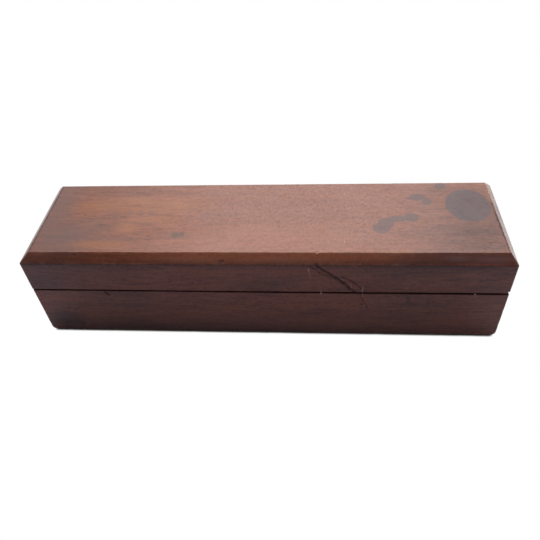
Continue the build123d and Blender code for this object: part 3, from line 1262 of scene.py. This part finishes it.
def abrasiveMaterial(name, look):
    material, tree, shader, point = startMaterial(name)
    grains = addNode(tree, "TexVoronoi", {"Vector": point, "Scale": 1 / look["gritSize"]})
    speckle = calc(tree, "MULTIPLY", grains.outputs["Distance"], look["gritContrast"])
    clumps = noiseOf(tree, scaled(tree, point, 0.9 / look["gritSize"]), 2.0, 0.7)
    freckles = noiseOf(tree, scaled(tree, point, 0.9), 3.0, 0.75)
    tone = swing(tree, clumps, 1.6, calc(tree, "SUBTRACT", 0.75, speckle))
    tone = swing(tree, freckles, 1.8, tone)
    color = mixColor(tree, calc(tree, "ADD", tone, 0.0, clamp=True), look["dull"], look["bright"])

    # oil has soaked in unevenly, and the worn middle is glazed with grey swarf
    soaked = place(tree, oilSoak, {"Vector": point, "Seed": look["seed"], "Cover": look["cover"]})["Mask"]
    color = mixColor(tree, calc(tree, "MULTIPLY", soaked, look["soaked"]), color, look["oiled"])
    worn = attribute(tree, "worn")
    smears = noiseOf(tree, stretched(tree, point, (0.05, 0.09, 0.09)), 5.0, 0.6)
    glaze = calc(tree, "MULTIPLY", worn, remap(tree, smears, 0.30, 0.66, smooth=True))
    glaze = calc(tree, "MULTIPLY", glaze, look["swarfStrength"])
    color = mixColor(tree, glaze, color, look["swarf"])
    hairs = place(tree, fineScratches, {"Vector": point, "Amount": worn})["Mask"]
    color = mixColor(tree, calc(tree, "MULTIPLY", hairs, look["hairs"]), color, look["chipped"])
    color = mixColor(tree, wearMask(tree, point, look), color, look["chipped"])
    join(tree, color, shader["Base Color"])

    dry, wet = look["rough"]
    rough = remap(tree, calc(tree, "MAXIMUM", soaked, glaze), 0, 1, dry, wet)
    join(tree, rough, shader["Roughness"])
    height = calc(tree, "SUBTRACT", clumps, speckle)
    height = calc(tree, "MULTIPLY_ADD", hairs, -0.6, height)
    join(tree, bump(tree, height, look["bump"], look["bumpDepth"]), shader["Normal"])
    return material


for name, look, slot, node, wornTop, seed in (
    ("fineStone", fineLook, "fine_abrasive", "fine_grit_layer", True, 31),
    ("coarseStone", coarseLook, "coarse_abrasive", "coarse_grit_layer", False, 47),
):
    layer = makeLayer(name, *boxOf(node), look, wornTop, seed)
    layer.data.materials.append(abrasiveMaterial(name + "Grit", look))
    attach(layer, "stone")
    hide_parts(node)
    print(name, "made:", len(layer.data.polygons), "faces")

# the end blocks

endLook = {
    "topEasing": 0.7,
    "uprightRadius": 0.5,
    "spacing": (0.9, 0.3),
    "waviness": 0.08,
    "waveSize": (12, 12, 12),
    "waveOctaves": 1,
    "rub": 0.12,
    "rubPatch": 4,
    "sawDepth": 0.09,
    "sawPitch": 1.7,
    "sawSlant": 0.25,
    "sawShake": 0.5,
    "knocks": 16,
    "knockRadius": (0.6, 2.0),
    "knockDepth": (0.08, 0.3),
    "lightWood": rgb(0.44, 0.27, 0.145),
    "darkWood": rgb(0.22, 0.125, 0.066),
    "poreColor": rgb(0.06, 0.035, 0.022),
    "bands": 1.4,
    "streaks": 0.9,
    "flecks": 0.9,
    "ripple": 0.2,
    "pores": 0.8,
    "oiled": rgb(0.085, 0.055, 0.036),
    "soaking": (0.6, 0.8),  # how much of the wood, and how dark
    "worn": rgb(0.5, 0.34, 0.20),
    "wear": (0.5, 4.0),
    "rough": (0.66, 0.45),
    "bump": 0.5,
    "bumpDepth": 0.08,
}


def makeEndBlock(name, side, look, seed):
    low, high = boxOf("end_block_" + name)
    halfX, halfY = (high[0] - low[0]) / 2, high[1]
    centreX = (high[0] + low[0]) / 2
    easing, radius = look["topEasing"], look["uprightRadius"]
    rows = [[easing + 0.3, easing + 0.3, high[2], radius]]
    rows += profileRows(
        [
            (2, 2, high[2], 0, radius),
            (0, 0, high[2], easing, radius),
            (0, 0, low[2], 0.3, radius),
            (2, 2, low[2], 0, radius),
        ],
        (1, 0.55, 1),
    )
    rows.append([0.6, 0.6, low[2], radius])
    title = "endBlock" + name.capitalize()
    piece, points, normals = startPiece(title, look, rows, halfX, halfY, centreX)
    edges = levelEdges(halfX, halfY, high[2], centreX)
    edges += uprightEdges(halfX, halfY, low[2], high[2], 0, centreX)
    arris = nearEdges(points, edges, 0.8)
    # the top was left from the saw: shallow, slightly slanting kerfs
    onFace = np.clip(1 - (high[2] - points[:, 2]) / 0.6, 0, 1)
    phase = (points[:, 1] + look["sawSlant"] * side * (points[:, 0] - centreX)) / look["sawPitch"]
    phase += look["sawShake"] * unevenness(points, (6, 6, 6), seed, 1)
    sag = wornSag(points, arris, look, seed)
    sag += look["sawDepth"] * onFace * (0.5 + 0.5 * np.sin(2 * math.pi * phase))
    points = points - normals * sag[:, None]
    points = edgeKnocks(points, edges, low, high, look, seed)
    finishPiece(piece, points, low, high, arris=arris)
    return piece


def endGrainMaterial(name, look, seed):
    # the grain stands upright, so the pattern's X follows Z
    material, tree, shader, point = startMaterial(name)
    parts = addNode(tree, "SeparateXYZ", {"Vector": point}).outputs
    turned = {"X": parts["Z"], "Y": parts["X"], "Z": parts["Y"]}
    upright = addNode(tree, "CombineXYZ", turned).outputs["Vector"]
    grain = place(
        tree,
        woodGrain,
        {
            "Vector": upright,
            "Seed": seed,
            "Light Wood": look["lightWood"],
            "Dark Wood": look["darkWood"],
            "Pore Color": look["poreColor"],
            "Bands": look["bands"],
            "Streaks": look["streaks"],
            "Flecks": look["flecks"],
            "Ripple": look["ripple"],
            "Pores": look["pores"],
        },
    )
    cover, darkness = look["soaking"]
    soaked = place(tree, oilSoak, {"Vector": scaled(tree, point, 2.2), "Seed": seed, "Cover": cover})["Mask"]
    color = mixColor(tree, calc(tree, "MULTIPLY", soaked, darkness), grain["Color"], look["oiled"])
    color = mixColor(tree, wearMask(tree, point, look), color, look["worn"])
    join(tree, color, shader["Base Color"])
    join(tree, remap(tree, soaked, 0, 1, *look["rough"]), shader["Roughness"])
    join(tree, bump(tree, grain["Height"], look["bump"], look["bumpDepth"]), shader["Normal"])
    return material


for name, side, seed in (("left", -1, 61.0), ("right", 1, 67.0)):
    block = makeEndBlock(name, side, endLook, seed)
    block.data.materials.append(endGrainMaterial(block.name + "Wood", endLook, seed))
    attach(block, "base")
    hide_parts("end_block_" + name)
print("end blocks made")

# the steel points

pointsLook = {
    "radius": 0.8,
    "tipRadius": 0.16,
    "stand": 0.8,  # how far they stand out of the wood
    "sides": 24,
    "shankRings": 40,
    "tipRings": 10,
    "facets": 3,  # flats left by the file round each tip
    "flatness": 0.45,
    "ringPitch": 1.1,  # grip rings on the buried shank
    "ringDepth": 0.06,
    "bright": rgb(0.50, 0.48, 0.46),
    "dull": rgb(0.27, 0.255, 0.24),
    "rust": rgb(0.16, 0.065, 0.03),
    "metallic": (0.95, 0.1),  # clean and rusty
    "rough": (0.34, 0.8),
    "bump": 0.3,
    "bumpDepth": 0.03,
}


def makePoints(look):
    # four cropped brads, each a stack of rings closed by a small cap at either end
    radius, stand, sides = look["radius"], look["stand"], look["sides"]
    farX, farY, top = boxOf("bench_points")[1]
    draw = random.Random(5)
    turns = np.arange(sides) * 2 * math.pi / sides
    points, faces = [], []
    count = 0
    for sideX in (-1, 1):
        for sideY in (-1, 1):
            centreX, centreY = sideX * (farX - radius), sideY * (farY - radius)
            spin = draw.uniform(0, 2 * math.pi)
            rings = []
            for height in np.linspace(top, stand, look["shankRings"]):
                grip = look["ringDepth"] * (0.5 + 0.5 * math.cos(2 * math.pi * height / look["ringPitch"]))
                buried = min(1, max(0, (height - stand - 0.5) / 0.5))
                rings.append((height, np.full(sides, radius - grip * buried)))
            for share in np.linspace(0, 1, look["tipRings"])[1:]:
                reach = radius + (look["tipRadius"] - radius) * share
                part = (turns - spin) % (2 * math.pi / look["facets"]) - math.pi / look["facets"]
                flat = math.cos(math.pi / look["facets"]) / np.cos(part)
                flatness = look["flatness"] * math.sin(math.pi * share)
                rings.append((stand * (1 - share), reach * (1 - flatness + flatness * flat)))
            rings = [(top, np.zeros(sides))] + rings + [(0.0, np.zeros(sides))]
            for height, reach in rings:
                x = centreX + np.cos(turns) * reach
                y = centreY + np.sin(turns) * reach
                points.append(np.stack([x, y, np.full(sides, height)], 1))
            for ring in range(len(rings) - 1):
                here = count + ring * sides + np.arange(sides)
                below = here + sides
                faces.append(np.stack([here, below, np.roll(below, -1), np.roll(here, -1)], 1))
            count += len(rings) * sides
    return storeMesh("benchPoints", np.concatenate(points), np.concatenate(faces))


def steelMaterial(name, look):
    material, tree, shader, point = startMaterial(name)
    filed = noiseOf(tree, stretched(tree, point, (1.5, 1.5, 14.0)), 2.0, 0.6)
    color = mixColor(tree, remap(tree, filed, 0.35, 0.65), look["dull"], look["bright"])
    rust = remap(tree, noiseOf(tree, scaled(tree, point, 1.3), 5.0, 0.7), 0.5, 0.62, smooth=True)
    color = mixColor(tree, rust, color, look["rust"])
    join(tree, color, shader["Base Color"])
    join(tree, remap(tree, rust, 0, 1, *look["metallic"]), shader["Metallic"])
    join(tree, remap(tree, rust, 0, 1, *look["rough"]), shader["Roughness"])
    join(tree, bump(tree, filed, look["bump"], look["bumpDepth"]), shader["Normal"])
    return material


steelPoints = makePoints(pointsLook)
steelPoints.data.materials.append(steelMaterial("filedSteel", pointsLook))
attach(steelPoints, "base")
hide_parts("bench_points")
print("steel points made")

# camera, light and floor

cameraLook = {
    "place": (29.6, -223.8, 257.7),  # from the middle of the case, above the underside of the wood
    "heading": 6.757,  # degrees, like the next two
    "down": 42.378,
    "lean": -4.639,
    "lens": 36.9,
    "sensor": 36.0,
    "shiftDown": 0.0784,
}
softboxes = {  # where each stands in metres, its size and its power; all aim at the case
    "backSoftbox": ((0.07, 1.0, 0.95), (1.5, 0.8), 12.5),
    "overheadSoftbox": ((0.0, 0.25, 1.3), (1.2, 0.9), 12.5),
}
softboxAim = (0, 0, 0.03)
floorLook = {
    "halfSize": 4000.0,
    "front": rgb(0.48, 0.46, 0.56),
    "back": rgb(0.85, 0.85, 0.88),
    "change": (-0.05, 0.06),  # where along Y, in metres, the front tone turns into the back one; the darker front is painted shade, where less light reaches the paper
    "sunlit": [  # patches behind the case that glow, painted light standing in for brightly lit paper: where they set in along X and Y, strength
        ((0.10, 0.22), (-0.06, 0.06), 1.5),
        ((-0.10, -0.16), (0.07, 0.13), 0.8),
    ],
    "contactReach": 1.5,  # the painted contact shadow: a dark line where the case all but touches the paper
    "contactEdge": (0.55, 0.9),  # how open the paper is at the line's dark and pale edges
    "contactTone": 0.01,
}
worldLook = {
    "room": rgb(0.90, 0.93, 1.0),
    "dimness": 0.07,
    "backdrop": 1.1,  # the lit backdrop behind the case
    "behind": (0.1, 0.5),  # how far towards the back, and how low down, a way has to point to meet it
    "lowDown": (0.12, 0.42),
}


def addCamera(look):
    data = bpy.data.cameras.new("studioCamera")
    data.sensor_width = look["sensor"]
    data.lens = look["lens"]
    data.shift_y = -look["shiftDown"]
    data.clip_start = 0.01
    camera = bpy.data.objects.new("studioCamera", data)
    turn = (
        Matrix.Rotation(math.radians(look["heading"]), 4, "Z")
        @ Matrix.Rotation(math.radians(90 - look["down"]), 4, "X")
        @ Matrix.Rotation(math.radians(look["lean"]), 4, "Z")
    )
    spot = Vector(look["place"]) + Vector((0, 0, woodZ))
    camera.matrix_world = Matrix.Translation(spot * mm) @ turn
    bpy.context.scene.collection.objects.link(camera)
    bpy.context.scene.camera = camera


def addSoftbox(name, spot, size, power):
    data = bpy.data.lights.new(name, "AREA")
    data.shape = "RECTANGLE"
    data.size, data.size_y = size
    data.energy = power
    light = bpy.data.objects.new(name, data)
    light.location = spot
    way = Vector(softboxAim) - Vector(spot)
    light.rotation_euler = way.to_track_quat("-Z", "Y").to_euler()
    bpy.context.scene.collection.objects.link(light)


def whiteToCamera(tree, output, kind, dimmed, strength):
    # plain white where the camera looks straight at it, softer in what it throws on the case
    seen = addNode(tree, "LightPath", {}).outputs["Is Camera Ray"]
    white = addNode(tree, kind, {"Color": rgb(1, 1, 1), "Strength": strength})
    mixed = addNode(tree, "MixShader", {0: seen, 1: dimmed, 2: white.outputs[0]})
    addNode(tree, output, {"Surface": mixed.outputs[0]})


def addFloor(look):
    half = look["halfSize"]
    corners = np.array([(-half, -half, 0), (half, -half, 0), (half, half, 0), (-half, half, 0)])
    floor = storeMesh("paperFloor", corners, np.array([[0, 1, 2, 3]]))
    material = bpy.data.materials.new("paper")
    material.use_nodes = True
    tree = material.node_tree
    tree.nodes.clear()
    spot = addNode(tree, "SeparateXYZ", {"Vector": addNode(tree, "TexCoord", {}).outputs["Object"]}).outputs
    # painted shade: the paper is darker in front of the case and paler behind it
    paper = mixColor(tree, remap(tree, spot["Y"], *look["change"], smooth=True), look["front"], look["back"])
    dull = addNode(tree, "BsdfDiffuse", {"Color": paper})
    sunlit = 0.0
    for alongX, alongY, strength in look["sunlit"]:
        patch = remap(tree, spot["X"], *alongX, 0.0, strength, smooth=True)
        patch = calc(tree, "MULTIPLY", patch, remap(tree, spot["Y"], *alongY, smooth=True))
        sunlit = calc(tree, "ADD", patch, sunlit)
    # the paper glows in these patches though it is no lamp: painted light thrown on the case
    glow = addNode(tree, "Emission", {"Color": rgb(1, 1, 1), "Strength": sunlit})
    lit = addNode(tree, "AddShader", {0: dull.outputs[0], 1: glow.outputs[0]})
    # a painted contact shadow: the white paper the camera sees is darkened where the case nearly touches it
    openness = addNode(tree, "AmbientOcclusion", {"Distance": look["contactReach"] * mm}).outputs["AO"]
    paintedContactShadow = remap(tree, openness, *look["contactEdge"], look["contactTone"], 1.0)
    whiteToCamera(tree, "OutputMaterial", "Emission", lit.outputs[0], paintedContactShadow)
    floor.data.materials.append(material)


def addWorld(look):
    world = bpy.data.worlds.new("studioWorld")
    world.use_nodes = True
    tree = world.node_tree
    tree.nodes.clear()
    way = addNode(tree, "SeparateXYZ", {"Vector": addNode(tree, "TexCoord", {}).outputs["Generated"]}).outputs
    behind = remap(tree, way["Y"], *look["behind"], smooth=True)
    lowDown = remap(tree, way["Z"], *look["lowDown"], 1.0, 0.0, smooth=True)
    glow = calc(tree, "MULTIPLY", behind, lowDown)
    strength = remap(tree, glow, 0, 1, look["dimness"], look["backdrop"])
    room = addNode(tree, "Background", {"Color": look["room"], "Strength": strength})
    whiteToCamera(tree, "OutputWorld", "Background", room.outputs[0], 1.0)
    bpy.context.scene.world = world


addCamera(cameraLook)
addFloor(floorLook)
addWorld(worldLook)
for name, settings in softboxes.items():
    addSoftbox(name, *settings)
bpy.context.scene.view_settings.view_transform = "Standard"
print("camera, lights and floor placed")
